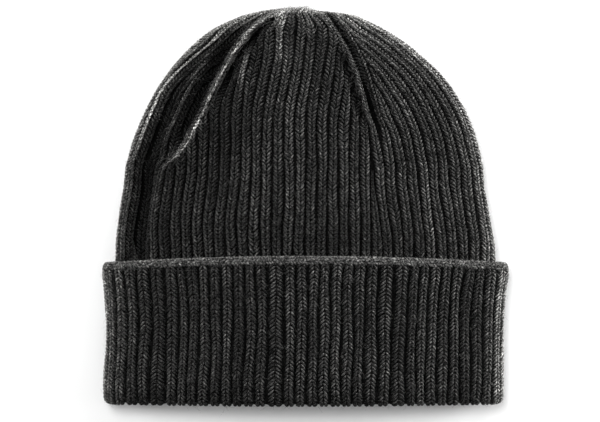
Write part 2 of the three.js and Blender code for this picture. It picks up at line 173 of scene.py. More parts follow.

# Folds and ropes on the front. Each lies beside its line by offset, grows from start to full and dies
# away from fade to end, which are shares of the crown's rise. It raises the fabric by height, or lowers
# it, and light paints it lighter or darker: painted highlights on ridges, painted shade in valleys and
# dents.
# A row without height is painted light or shade alone, with no fold under it.
FOLD_COLUMNS = ("line", "side", "offset", "width", "height", "light", "start", "full", "fade", "end")
FOLDS = (
    ("seam_left", -1, 4.7, 2.6, 3.4, 1.05, 0.31, 0.47, 0.9, 0.98),
    ("seam_left", -1, 3.8, 1.1, 0.3, 1.1, 0.3, 0.45, 0.9, 0.98),
    ("seam_left", -1, -1.7, 4.0, -7, -1.45, 0.36, 0.58, 0.8, 0.95),
    ("seam_left", -1, -14.5, 3.0, 0, -0.6, 0.5, 0.6, 0.74, 0.85),
    ("seam_left", -1, -9.6, 2.4, 1.6, 0.65, 0.32, 0.43, 0.7, 0.82),
    ("seam_left", -1, 8.6, 2.8, -4.5, -0.8, 0.6, 0.7, 0.9, 0.96),
    ("seam_left", -1, 22, 15, -1.0, -0.3, 0.1, 0.5, 0.86, 0.93),
    ("furrow", -1, 1.2, 4.8, -6.5, -1.4, -0.1, 0.0, 0.38, 0.8),
    ("furrow", -1, -7.3, 2.0, 1.4, 1.1, 0.3, 0.5, 0.84, 0.95),
    ("furrow", -1, -7.5, 5.0, 0, -0.45, -0.1, 0.0, 0.4, 0.5),
    ("furrow", -1, 24, 14, 0, -0.2, -0.1, 0.0, 0.45, 0.6),
    ("furrow", -1, -10.4, 1.6, -0.8, -0.7, 0.4, 0.5, 0.8, 0.9),
    ("seam_right", 1, -20, 13, -0.8, -0.3, 0.45, 0.65, 0.86, 0.93),
    ("seam_right", 1, 9, 10, 0, 0.35, 0.84, 0.93, 1.0, 1.02),
    ("seam_right", 1, 0.2, 2.2, -3.4, -0.9, 0.42, 0.62, 0.93, 0.99),
    ("seam_right", 1, -3.2, 2.2, 1.2, 0.4, 0.42, 0.62, 0.93, 0.99),
    ("seam_right", 1, -6.8, 2.2, -2.4, -0.8, 0.5, 0.62, 0.74, 0.84),
    ("centre", 1, -33.8, 2.7, 1.0, 1.0, 0.62, 0.7, 0.82, 0.9),
    ("centre", 1, -27.0, 2.6, -1.2, -0.6, 0.72, 0.78, 0.9, 0.96),
    ("centre", 1, -13.3, 2.8, 1.2, 1.1, 0.68, 0.82, 0.96, 1.0),
    ("centre", 1, -5.0, 2.8, -1.0, -0.4, 0.78, 0.86, 0.94, 0.99),
    ("centre", 1, 1.0, 2.4, 0.8, 0.5, 0.86, 0.9, 0.97, 1.0),
)

FOLD_FADE = 20.0  # a fold that reaches into the cuff dies away over this many millimetres there

# The crown's ribs between one line and the next. They keep their width as the lines close in, so that
# they run out one after another at the line that isn't their anchor. With edge, the rib beside that
# line stays.
SPAN_COLUMNS = ("start", "end", "ribs", "anchor", "edge")
SPANS = (
    ("front_left", "front", 14, "end", True),
    ("front", "front_right", 8, "start", True),
    ("front_right", "right", 10, "end", True),
    ("right", "back_right", 4, "start", False),
    ("back_right", "back", 14, "end", True),
    ("back", "back_left", 8, "start", True),
    ("back_left", "furrow", 13, "end", True),
    ("furrow", "front_left", 4, "start", False),
)

# Cuff ribs that are wider or narrower than the rest, by these factors
ODD_RIBS = {4: 1.15, 5: 1.35, 6: 1.1, 7: 0.8, 15: 1.5, 23: 1.15, 24: 1.25, 25: 1.35, 26: 0.85, 27: 0.85}


TABLE_STEPS = 6000


class Table:
    """Rows of named columns, read between the rows without overshoot."""

    def __init__(self, columns, rows):
        self.columns = {name: np.array(column, float) for name, column in zip(columns, zip(*rows))}
        self.last = len(rows) - 1

    def value(self, name, place):
        column = self.columns[name]
        step = np.diff(column)
        slope = np.concatenate([step[:1], np.zeros(len(step) - 1), step[-1:]])
        before, after = step[:-1], step[1:]
        same_way = before * after > 0
        slope[1:-1][same_way] = 2 * before[same_way] * after[same_way] / (before + after)[same_way]
        at = np.clip(place, 0, self.last)
        low = np.minimum(np.floor(at).astype(int), self.last - 1)
        part = at - low
        rest = 1 - part
        return (
            column[low] * rest * rest * (1 + 2 * part)
            + column[low + 1] * part * part * (1 + 2 * rest)
            + slope[low] * part * rest * rest
            - slope[low + 1] * rest * part * part
        )

    def place(self, name, value):
        places = np.linspace(0, self.last, TABLE_STEPS + 1)
        return np.interp(value, self.value(name, places), places)


CUFF = Table(CUFF_COLUMNS, CUFF_ROWS)
CROWN = Table(CROWN_COLUMNS, CROWN_ROWS)


def lerp(start, end, share):
    return start + (end - start) * share


def smooth(start, end, value):
    share = np.clip((value - start) / (end - start), 0, 1)
    return share * share * (3 - 2 * share)


def cuff_sections(y):
    place = CUFF.place("rise", y / CUFF_HEIGHT)
    ones = np.ones_like(place)
    return {
        "y": y,
        "left": CUFF_WIDTH / 2 * CUFF.value("left", place),
        "right": CUFF_WIDTH / 2 * CUFF.value("right", place),
        "radius": CUFF_SIDE_RADIUS * ones,
        "middle": CUFF_SIDE_RADIUS * ones,
        "dome": CUFF_DOME * ones,
    }


def hidden_sections(y):
    """The crown where it lies inside the cuff."""
    cuff = cuff_sections(np.minimum(y, CUFF_HEIGHT))
    inset = CUFF_WALL + CLEARANCE
    ease = lerp(LIP_EASE, RIM_EASE, np.minimum(y / CUFF_HEIGHT, 1))
    ones = np.ones_like(y)
    made = dict(cuff)
    made["y"] = y
    made["left"] = cuff["left"] - inset - ease
    made["right"] = cuff["right"] - inset - ease
    made["radius"] = cuff["radius"] - inset
    for name in ("seam_left", "seam_right", "furrow"):
        made[name] = CROWN.columns[name][0] * ones
    made["centre"] = 0 * ones
    return made


def crown_sections(place):
    rise = CROWN.value("rise", place)
    y = CUFF_HEIGHT + rise * CROWN_RISE
    hidden = hidden_sections(y)
    share = CROWN.value("in_cuff", place)
    shift = TIP_SHIFT * smooth(TIP_SHIFT_START, 1, rise)
    made = {
        "y": y,
        "left": lerp(CROWN_WIDTH / 2 * CROWN.value("left", place), hidden["left"], share) - shift,
        "right": lerp(CROWN_WIDTH / 2 * CROWN.value("right", place), hidden["right"], share) + shift,
        "radius": lerp(CROWN_SIDE_RADIUS * CROWN.value("side", place), hidden["radius"], share),
        "middle": lerp(CROWN_SIDE_RADIUS, hidden["middle"], share),
        "dome": lerp(CROWN_DOME * CROWN.value("dome", place), hidden["dome"], share),
    }
    for name in ("seam_left", "seam_right", "furrow"):
        made[name] = CROWN.value(name, place)
    made["centre"] = 0 * y
    made["folds"] = []
    for row in FOLDS:
        fold = dict(zip(FOLD_COLUMNS, row))
        half = made["left"] if fold["side"] < 0 else made["right"]
        centre = fold["side"] * half * made[fold["line"]] + fold["offset"]
        grown = smooth(fold["start"], fold["full"], rise) * (1 - smooth(fold["fade"], fold["end"], rise))
        made["folds"].append((centre, fold["width"], fold["height"] * grown, fold["light"] * grown))
    return made


def joined(first, second):
    """Two runs of sections as one, with the second one's folds."""
    made = {name: np.concatenate([first[name], second[name]]) for name in first}
    count = len(first["y"])
    grown = smooth(CUFF_HEIGHT - FOLD_FADE, CUFF_HEIGHT, first["y"])
    made["folds"] = [
        (
            np.concatenate([np.full(count, centre[0]), centre]),
            width,
            np.concatenate([grown * height[0], height]),
            np.concatenate([grown * light[0], light]),
        )
        for centre, width, height, light in second["folds"]
    ]
    return made


ARC_STEPS = 20
FLAT_STEPS = 240


def outlines(sections):
    """The closed outline of each section, with the length run so far."""
    left = sections["left"][:, None]
    right = sections["right"][:, None]
    radius = sections["radius"][:, None]
    middle = sections["middle"][:, None]
    angle = np.linspace(0, math.pi / 2, ARC_STEPS + 1)[None, :]
    flat = np.linspace(0, 1, FLAT_STEPS + 1)[None, 1:-1]
    x = np.concatenate(
        [
            -left + radius * (1 - np.cos(angle)),
            lerp(-left + radius, right - radius, flat),
            right - radius * (1 - np.cos(angle[:, ::-1])),
        ],
        axis=1,
    )
    half = np.concatenate(
        [radius * np.sin(angle), radius * np.ones_like(flat), radius * np.sin(angle[:, ::-1])], axis=1
    )
    share = np.minimum(np.abs(x) / np.where(x < 0, left, right), 1)
    front = middle + half + sections["dome"][:, None] * (1 - share * share) ** DOME_POWER
    # The folds' painted highlights and painted shade, on the front only
    tone = np.zeros_like(front)
    for centre, width, height, light in sections.get("folds", []):
        away = (x - centre[:, None]) / width
        here = np.exp(-away * away) * (half / radius)
        front = front + height[:, None] * here
        tone = tone + light[:, None] * here
    back = middle - half
    loop_x = np.concatenate([x, x[:, -2:0:-1], x[:, :1]], axis=1)
    loop_z = np.concatenate([front, back[:, -2:0:-1], front[:, :1]], axis=1)
    loop_painted_light = np.concatenate([tone, 0 * back[:, -2:0:-1], tone[:, :1]], axis=1)
    steps = np.hypot(np.diff(loop_x, axis=1), np.diff(loop_z, axis=1))
    runs = np.concatenate([np.zeros((len(x), 1)), np.cumsum(steps, axis=1)], axis=1)
    return {
        "x": loop_x,
        "z": loop_z,
        "tone": loop_painted_light,
        "runs": runs,
        "length": runs[:, -1],
        "corner": x.shape[1] - 1,
    }


def bow_at(x, y):
    """How far the rim, and less and less the rows below and above it, bow along Y."""
    share = np.minimum(np.abs(x) / (CUFF_WIDTH / 2), 1)
    rim = RIM_BOW * (1 - smooth(CUFF_HEIGHT, CUFF_HEIGHT * BOW_END, y))
    low = RIM_BOW * np.maximum(y, 0) / CUFF_HEIGHT
    return np.where(y < CUFF_HEIGHT, low, rim) * (1 - share * share)


COLUMNS = 1200


def evenly(outline, name, columns=COLUMNS):
    """One of the outlines' values at equal shares round each outline."""
    share = np.arange(columns) / columns
    pairs = zip(outline["runs"], outline[name])
    return np.stack([np.interp(share * run[-1], run, row) for run, row in pairs])


def resampled(outline, columns=COLUMNS):
    """Points at equal shares round each outline, with the outward direction."""
    x = evenly(outline, "x", columns)
    z = evenly(outline, "z", columns)
    along_x = np.roll(x, -2, 1) - np.roll(x, 2, 1)
    along_z = np.roll(z, -2, 1) - np.roll(z, 2, 1)
    size = np.hypot(along_x, along_z)
    return x, z, -along_z / size, along_x / size


def normals_of(points):
    round_it = np.roll(points, -1, 1) - np.roll(points, 1, 1)
    along = np.gradient(points, axis=0)
    out = np.cross(round_it, along)
    return out / np.maximum(np.linalg.norm(out, axis=2, keepdims=True), 1e-9)


def sample(grid, row, share):
    """A grid's value at rows and shares of the way round that may lie between its points."""
    rows, columns = grid.shape[:2]
    row = np.clip(row, 0, rows - 1.0001)
    column = np.mod(share, 1.0) * columns
    row_low = np.floor(row).astype(int)
    column_low = np.floor(column).astype(int)
    row_part = (row - row_low)[..., None]
    column_part = (column - column_low)[..., None]
    near = column_low % columns
    far = (column_low + 1) % columns
    return (
        grid[row_low, near] * (1 - row_part) * (1 - column_part)
        + grid[row_low, far] * (1 - row_part) * column_part
        + grid[row_low + 1, near] * row_part * (1 - column_part)
        + grid[row_low + 1, far] * row_part * column_part
    )


def run_at(outline, x, on_front):
    """The run at which each outline's front, or back, passes x."""
    corner = outline["corner"]
    found = []
    for row in range(len(outline["x"])):
        if on_front:
            xs = outline["x"][row, : corner + 1]
            runs = outline["runs"][row, : corner + 1]
        else:
            xs = outline["x"][row, corner:][::-1]
            runs = outline["runs"][row, corner:][::-1]
        found.append(np.interp(x[row], xs, runs))
    return np.array(found)


def crown_troughs(sections, outline):
    """Each rib's trough as a share of the way round, for every row. A rib that ran out has no width."""
    length = outline["length"]
    pitch = np.minimum(RIB_PITCH, length / TIP_RIBS)
    zero = np.zeros_like(length)
    rise = (sections["y"] - CUFF_HEIGHT) / CROWN_RISE
    lean = FRONT_LEAN * smooth(*LEAN_SPAN[:2], rise) * (1 - smooth(*LEAN_SPAN[2:], rise))
    start = run_at(outline, -sections["left"] * sections["seam_left"], True)
    corner = outline["runs"][:, outline["corner"]]
    lines = {
        "front_left": zero,
        "front": run_at(outline, lean, True),
        "front_right": run_at(outline, sections["right"] * sections["seam_right"], True),
        "right": corner,
        "back_right": corner + SIDE_RIBS * pitch,
        "back": run_at(outline, zero, False),
        "back_left": run_at(outline, -sections["left"] * sections["seam_right"], False),
        "furrow": run_at(outline, -sections["left"] * sections["furrow"], True),
    }
    for name in lines:
        if name != "front_left":
            lines[name] = np.mod(lines[name] - start, length)
    troughs = []
    for row in SPANS:
        span = dict(zip(SPAN_COLUMNS, row))
        first = lines[span["start"]]
        last = length if span["end"] == "front_left" else lines[span["end"]]
        room = last - first
        width = np.maximum(pitch, room / span["ribs"])
        edge = width if span["edge"] else zero
        from_start = span["anchor"] == "start"
        troughs.append(first)
        for rib in range(1, span["ribs"]):
            counted = rib if from_start else span["ribs"] - rib
            clear = np.maximum(room - counted * width, np.minimum(edge, room))
            troughs.append(last - clear if from_start else first + clear)
    troughs.append(length)
    return (np.stack(troughs, 1) + start[:, None]) / length[:, None]


def cuff_troughs(outline):
    widths = np.ones(CUFF_RIBS)
    for rib, width in ODD_RIBS.items():
        widths[rib] = width
    half = CUFF_RIBS // 2
    front = np.concatenate([[0], np.cumsum(widths[:half])]) / widths[:half].sum()
    back = np.cumsum(widths[half:]) / widths[half:].sum()
    corner = (outline["runs"][:, outline["corner"]] / outline["length"])[:, None]
    return np.concatenate([corner * front[None, :], lerp(corner, 1, back[None, :])], 1)


def painted_edge_highlight(x, z, sections):
    """How much lighter the wool is painted near the outline, on its upper side: a painted highlight."""
    found = []
    for name, side in (("left", -1), ("right", 1)):
        half = sections[name]
        slope = np.gradient(half, sections["y"]) if "seam_left" in sections else 0 * half
        found.append((half[:, None] - side * x) / np.sqrt(1 + slope * slope)[:, None])
    away = np.maximum(np.minimum(*found), 0)
    upward = smooth(-1, 0, (z - sections["middle"][:, None]) / sections["radius"][:, None])
    return 1 + PAINTED_EDGE_HIGHLIGHT * upward * np.exp(-away / EDGE_DEPTH)


def wandering(troughs, seed):
    """The troughs with a slow sway, each its own."""
    noise = np.random.default_rng(seed)
    widths = np.diff(troughs, axis=1)
    room = np.minimum(widths[:, :-1], widths[:, 1:])
    row = np.arange(len(troughs))[:, None] * ROW_STEP
    phase = noise.uniform(0, 2 * math.pi, (2, room.shape[1]))
    sway = np.sin(row / LONG_SWAY + phase[0]) + SHORT_SWAY_SHARE * np.sin(row / SHORT_SWAY + phase[1])
    made = np.array(troughs)
    made[:, 1:-1] += WANDER * room * sway
    return made


def skin_of(points, troughs, lengths, pitch, relief, shade, seed):
    """A skin's rows of points, each with its troughs, length, pitch, relief and painted light and shade.
    """
    return {
        "points": points,
        "normals": normals_of(points),
        "troughs": wandering(troughs, seed),
        "lengths": lengths,
        "pitch": pitch,
        "relief": relief,
        "shade": shade,
    }


# One seed for each piece's own noise
SEEDS = {
    "crown_sway": 9,
    "cuff_sway": 10,
    "crown_knit": 11,
    "cuff_knit": 12,
    "rim_edge": 13,
    "crown_fuzz": 14,
    "cuff_fuzz": 15,
}

# The crown's rows, from inside the cuff up to the tip, evenly along its slope
DENSE_STEPS = 4000
SLOPE_WEIGHT = 0.5  # a step to the side counts this much against one up
dense = np.linspace(0, CROWN.last, DENSE_STEPS + 1)
dense_sections = crown_sections(dense)
travel = np.hypot(np.diff(dense_sections["y"]), SLOPE_WEIGHT * np.diff(dense_sections["left"]))
travel = np.concatenate([[0], np.cumsum(travel)])
crown_places = np.interp(np.arange(0, travel[-1], ROW_STEP), travel, dense)
crown_places = np.concatenate([crown_places, [CROWN.last]])
hidden_y = np.arange(LIP_HEIGHT + CLEARANCE, CUFF_HEIGHT, ROW_STEP)
crown_rows = joined(hidden_sections(hidden_y), crown_sections(crown_places))
crown_outline = outlines(crown_rows)
x, z = resampled(crown_outline)[:2]
y = crown_rows["y"][:, None] + bow_at(x, crown_rows["y"][:, None])
crown_points = np.stack([x, y, z], 2)
troughs = crown_troughs(crown_rows, crown_outline)

# The tip is closed by a small round cap
tip = np.array([TIP_SHIFT, CUFF_HEIGHT + CROWN_RISE, CROWN_SIDE_RADIUS])
last_ring = crown_points[-1]
caps = []
for angle in CAP_ANGLES:
    ring = tip + (last_ring - tip) * math.cos(angle)
    ring[:, 1] = last_ring[:, 1] + (tip[1] - last_ring[:, 1]) * math.sin(angle)
    caps.append(ring)
crown_points = np.concatenate([crown_points, np.stack(caps)])
cap_count = len(CAP_ANGLES)
troughs = np.concatenate([troughs, np.repeat(troughs[-1:], cap_count, 0)])
lengths = np.concatenate([crown_outline["length"], np.repeat(crown_outline["length"][-1:], cap_count)])
# The crown's painted light and shade: the folds' painted highlights and shade, times the painted
# highlight near the outline
shade = np.exp(evenly(crown_outline, "tone")) * painted_edge_highlight(x, z, crown_rows)
shade = np.concatenate([shade, np.repeat(shade[-1:], cap_count, 0)])
pitch = np.minimum(RIB_PITCH, lengths / TIP_RIBS)
relief = CROWN_RELIEF * (pitch / RIB_PITCH) ** PITCH_POWER
crown = skin_of(crown_points, troughs, lengths, pitch, relief, shade, SEEDS["crown_sway"])
crown_last = len(lengths) - 1
HIDDEN_ROWS = len(hidden_y)

# The cuff's rows run from the lip inside, round the hem's fold, and up the outside to the rim
HEM_STEPS = 18
RIM_STEPS = 12
LIP_STEP = 0.6
fold_radius = (CROWN_WALL + CLEARANCE + CUFF_WALL) / 2
fold_angle = np.linspace(0, math.pi, HEM_STEPS + 1)
inner_y = np.arange(LIP_HEIGHT, fold_radius, -LIP_STEP)
leg_y = np.arange(fold_radius + ROW_STEP, CUFF_HEIGHT - RIM_ROUND, ROW_STEP)
rim_angle = np.linspace(0, math.pi, RIM_STEPS + 1)
cuff_y = np.concatenate(
    [
        inner_y,
        fold_radius * (1 - np.sin(fold_angle)),
        leg_y,
        CUFF_HEIGHT - RIM_ROUND + RIM_ROUND * np.sin(rim_angle),
    ]
)
shoulder = SHOULDER_INSET * np.maximum(0, 1 - (CUFF_HEIGHT - leg_y) / SHOULDER_HEIGHT) ** 2
rim_inset = SHOULDER_INSET * (1 - RIM_ROUND / SHOULDER_HEIGHT) ** 2
cuff_inset = np.concatenate(
    [
        np.full(len(inner_y), 2 * fold_radius),
        fold_radius * (1 + np.cos(fold_angle)),
        shoulder,
        lerp(rim_inset, CUFF_WALL, (1 - np.cos(rim_angle)) / 2),
    ]
)
OUTSIDE_START = len(inner_y) + len(fold_angle) // 2
RIM_START = len(inner_y) + len(fold_angle) + len(leg_y)
cuff_rows = cuff_sections(cuff_y)
cuff_outline = outlines(cuff_rows)
x, z, out_x, out_z = resampled(cuff_outline)
x = x - out_x * cuff_inset[:, None]
z = z - out_z * cuff_inset[:, None]
y = cuff_y[:, None] + bow_at(x, cuff_y[:, None])
cuff_points = np.stack([x, y, z], 2)
# Its ribs flatten out towards the rim, and a good deal round the hem
relief = lerp(RIM_RELIEF, 1, smooth(0, RIM_FADE, CUFF_HEIGHT - cuff_y))
relief = relief * lerp(HEM_RELIEF, 1, smooth(0, HEM_FADE, cuff_y))
# The cuff's painted light and shade: the painted highlight near the outline, and painted shade on the
# hem
shade = painted_edge_highlight(x, z, cuff_rows) * lerp(PAINTED_HEM_SHADE, 1, smooth(*PAINTED_HEM_SHADE_SPAN, cuff_y))[:, None]
lengths = cuff_outline["length"]
pitch = np.full(len(lengths), RIB_PITCH)
troughs = cuff_troughs(cuff_outline)
cuff = skin_of(cuff_points, troughs, lengths, pitch, relief, shade, SEEDS["cuff_sway"])
cuff_last = len(lengths) - 1


def rib_height(skin, row, share_in_rib, width, depth):
    """Height over the crest level, at a share of the way across a rib."""
    rows = np.arange(len(skin["pitch"]))
    pitch = np.interp(row, rows, skin["pitch"])
    relief = np.interp(row, rows, skin["relief"])
    fill = np.minimum(1, width / pitch) ** NARROW_POWER
    return depth * relief * (fill * (1 - np.abs(2 * share_in_rib - 1) ** RIB_POWER) - 1)


def shade_at(skin, row, share):
    return sample(skin["shade"][..., None], row, share)[..., 0]


def sheet_points(skin, rows, columns, depth, below):
    """The skin's points on an even grid, set in by its ribs, and how light each is painted: painted
    shade under the stitches and in the troughs, times the skin's painted light and shade.
    """
    count = len(skin["lengths"])
    row = np.asarray(rows, float)[:, None] * np.ones((1, columns))
    share = (np.arange(columns) / columns)[None, :] * np.ones_like(row)
    base = sample(skin["points"], row, share)
    normal = sample(skin["normals"], row, share)
    height = np.zeros_like(share)
    for index, at in enumerate(rows):
        low = min(int(at), count - 2)
        troughs_here = lerp(skin["troughs"][low], skin["troughs"][low + 1], at - low)
        length = lerp(skin["lengths"][low], skin["lengths"][low + 1], at - low)
        wanted = np.mod(share[index] - troughs_here[0], 1.0) + troughs_here[0]
        rib = np.clip(np.searchsorted(troughs_here, wanted, side="right") - 1, 0, len(troughs_here) - 2)
        width = (troughs_here[rib + 1] - troughs_here[rib]) * length
        part = (wanted - troughs_here[rib]) * length / np.maximum(width, 1e-6)
        height[index] = rib_height(skin, np.full(columns, at), part, width, depth)
    # Painted shade: the fabric is painted dark under the stitches and darker deep in the troughs
    painted_shade = lerp(PAINTED_SHADE_UNDER_STITCHES, PAINTED_TROUGH_SHADE, np.clip(-height / RIB_DEPTH, 0, 1))
    return base + normal * (height - below)[..., None], painted_shade * shade_at(skin, row, share)


def to_frame(points):
    """Millimetres from the hem to metres in the row frame."""
    moved = np.array(points, float) * MM
    moved[..., 1] += crown_high.y - (CUFF_HEIGHT + CROWN_RISE) * MM
    return moved


def make_mesh(name, points, faces, attributes, smooth_shaded=True):
    mesh = bpy.data.meshes.new(name)
    mesh.from_pydata(to_frame(points).reshape(-1, 3).tolist(), [], faces)
    for key, values in attributes.items():
        layer = mesh.attributes.new(key, "FLOAT", "POINT")
        layer.data.foreach_set("value", np.asarray(values, np.float32))
    if smooth_shaded:
        mesh.polygons.foreach_set("use_smooth", [True] * len(mesh.polygons))
    mesh.update()
    piece = bpy.data.objects.new(name, mesh)
    bpy.context.scene.collection.objects.link(piece)
    return piece


def grid_faces(rows, columns, closed_rows=False):
    """Quads of a grid that is closed round its columns, and over its rows too if closed_rows."""
    last = rows if closed_rows else rows - 1
    row = np.arange(last)[:, None]
    column = np.arange(columns)[None, :]
    after = (column + 1) % columns
    above = (row + 1) % rows
    corners = [
        row * columns + column,
        row * columns + after,
        above * columns + after,
        above * columns + column,
    ]
    return np.stack(corners, 2).reshape(-1, 4).tolist()


def legs_on(skin, first_row, last_row, lean, seed):
    """The two legs of every stitch between two rows, as points, normals and sizes at five stations."""
    noise = np.random.default_rng(seed)
    ribs = skin["troughs"].shape[1] - 1
    count = len(skin["lengths"])
    rows = np.arange(count, dtype=float)
    made = []
    for rib in range(ribs):
        low = skin["troughs"][:, rib]
        high = skin["troughs"][:, rib + 1]
        centre = (low + high) / 2
        width = (high - low) * skin["lengths"]
        path = sample(skin["points"], rows, centre)
        steps = np.linalg.norm(np.diff(path, axis=0), axis=1)
        run = np.concatenate([[0], np.cumsum(steps)])
        start = np.interp(first_row, rows, run)
        end = np.interp(last_row, rows, run)
        courses = np.arange(start + COURSE * 0.5 * noise.random(), end, COURSE)
        courses = courses + noise.normal(0, COURSE_NOISE, len(courses)) * COURSE
        at = np.interp(courses, run, rows)
        wide = np.interp(at, rows, width) / np.interp(at, rows, skin["pitch"])
        # No stitch where the painted fold shade is this dark: the painted-dark fabric shows there
        deep = shade_at(skin, at, np.interp(at, rows, centre)) < DEEP_SHADE
        courses = courses[(wide > SKIP_WIDTH) & ~deep]
        if len(courses) == 0:
            continue
        sway = COLUMN_SWAY * np.sin(courses / COLUMN_LENGTH + noise.random() * PHASE_RANGE)
        sway = sway + noise.normal(0, COLUMN_NOISE, len(courses))
        y = np.interp(np.interp(courses, run, rows), rows, path[:, 1])
        growth = lerp(1, TOP_TONE, smooth(TOP_START, CUFF_HEIGHT + CROWN_RISE, y))
        tone = noise.normal(0, RIB_TONE) * growth
        for length in RUN_LENGTHS:
            tone = tone + RUN_TONE * np.sin(courses / length + noise.random() * PHASE_RANGE)
        for side in (-1, 1):
            made.append(leg_stations(skin, centre, width, run, courses, side, lean, sway, tone, noise))
    return {key: np.concatenate([part[key] for part in made]) for key in made[0]}


STATIONS = np.array([0.0, 0.2, 0.5, 0.8, 1.0])
STATION_SIZE = np.array([0.0, 0.85, 1.0, 0.8, 0.0])
STATION_DIP = np.array([0.75, 0.22, 0.0, 0.25, 0.8])  # how far the ends tuck in, in yarn radii
STATION_PAINTED_SHADE = np.array([0.55, 1.0, 1.25, 0.95, 0.2])  # painted shade and highlight: the tucked-in ends are painted dark, the middle a little lighter


def leg_stations(skin, centre, width, run, courses, side, lean, sway, tone, noise):
    """The legs on one side of a rib."""
    rows = np.arange(len(run), dtype=float)
    count = len(courses)
    reach = LEG_REACH * COURSE * (1 + noise.normal(0, REACH_NOISE, count))
    spread = LEG_SPREAD * (1 + noise.normal(0, SPREAD_NOISE, count))
    along = courses[:, None] + (STATIONS[None, :] - 0.5) * lean * reach[:, None]
    across = LEG_START + spread[:, None] * STATIONS[None, :]
    row = np.interp(along, run, rows)
    wide = np.interp(row, rows, width)
    length = np.interp(row, rows, skin["lengths"])
    offset = side * across + sway[:, None]
    share = np.interp(row, rows, centre) + offset * wide / length
    base = sample(skin["points"], row, share)
    normal = sample(skin["normals"], row, share)
    thick = YARN_RADIUS * (1 + noise.normal(0, YARN_NOISE, count))[:, None]
    pitch = np.interp(row, rows, skin["pitch"])
    slim = lerp(THIN_SHARE, 1, np.minimum(1, wide / RIB_PITCH))
    slim = slim * np.minimum(1, pitch / RIB_PITCH + PITCH_EASE)
    height = rib_height(skin, row, 0.5 + offset, wide, RIB_DEPTH)
    height = height - thick * (1 + STATION_DIP[None, :])
    tone = tone + noise.normal(0, LEG_TONE, count)
    # A stitch's painted shade at its ends and beside the trough, its random tone, and the skin's painted
    # light and shade
    shade = STATION_PAINTED_SHADE[None, :] * np.exp(tone)[:, None]
    painted_groove = PAINTED_GROOVE_SHADE * np.clip(np.abs(offset) / GROOVE_REACH, 0, 1) ** GROOVE_POWER
    shade = shade * (1 - painted_groove) * shade_at(skin, row, share)
    return {
        "centre": base + normal * height[..., None],
        "normal": normal,
        "side_size": STATION_SIZE[None, :] * thick * slim,
        "up_size": STATION_SIZE[None, :] * thick,
        "shade": shade,
    }


# The cast-on edge: short strokes of yarn along the rim, in rows that lean one way and the other
EDGE_PITCH = 1.5
EDGE_REACH = 2.5
EDGE_LEAN = 0.6
EDGE_RADIUS = 0.52
# Painted highlight: the cast-on strokes on the rim are painted this many times lighter
RIM_PAINTED_HIGHLIGHT = 1.45
EDGE_ROWS = (0.6, 2.0, 3.4, 4.8, 6.2, 7.6)  # the strokes' rows, counted from the rim's first
PLACE_NOISE = 0.12
LEAN_NOISE = 0.12
STROKE_NOISE = 0.1
ROW_NOISE = 0.15
RADIUS_NOISE = 0.08
TONE_NOISE = 0.35


def edge_legs(skin, first_row, seed):
    noise = np.random.default_rng(seed)
    rows = np.arange(len(skin["lengths"]), dtype=float)
    made = []
    for index, above in enumerate(EDGE_ROWS):
        at = first_row + above
        length = np.interp(at, rows, skin["lengths"])
        count = int(length / EDGE_PITCH)
        odd = index % 2
        start = (np.arange(count) + 0.5 * odd + noise.normal(0, PLACE_NOISE, count)) / count
        lean = EDGE_LEAN * (1 if odd else -1) + noise.normal(0, LEAN_NOISE, count)
        reach = EDGE_REACH * (1 + noise.normal(0, STROKE_NOISE, count))
        along = (STATIONS[None, :] - 0.5) * reach[:, None]
        share = start[:, None] + along * np.cos(lean)[:, None] / length
        row = at + noise.normal(0, ROW_NOISE, count)[:, None] + along * np.sin(lean)[:, None] / ROW_STEP
        normal = sample(skin["normals"], row, share)
        thick = EDGE_RADIUS * (1 + noise.normal(0, RADIUS_NOISE, count))[:, None]
        tone = RIM_PAINTED_HIGHLIGHT * np.exp(TONE_NOISE * noise.normal(0, 1, count))[:, None]
        up = thick * (1 + STATION_DIP[None, :])
        made.append(
            {
                "centre": sample(skin["points"], row, share) - normal * up[..., None],
                "normal": normal,
                "side_size": STATION_SIZE[None, :] * thick,
                "up_size": STATION_SIZE[None, :] * thick,
                "shade": STATION_PAINTED_SHADE[None, :] * tone,
            }
        )
    return {key: np.concatenate([part[key] for part in made]) for key in made[0]}


# Loose fibres
FIBRE_LENGTH = 3.2
FIBRE_RADIUS = 0.05
FIBRE_RISE = 0.75  # how steeply they stand up, at most
FIBRE_TONE = 1.6
FIBRE_ROOT = 0.6  # their roots lie this many yarn radii under the skin
FIBRE_BEND = 0.35
FIBRE_DROOP = 0.25
FIBRE_TAPER = 0.35
FIBRE_NOISE = 0.35
FIBRE_PLACES = (0.0, 0.45, 1.0)
FIBRE_SIDES = 3


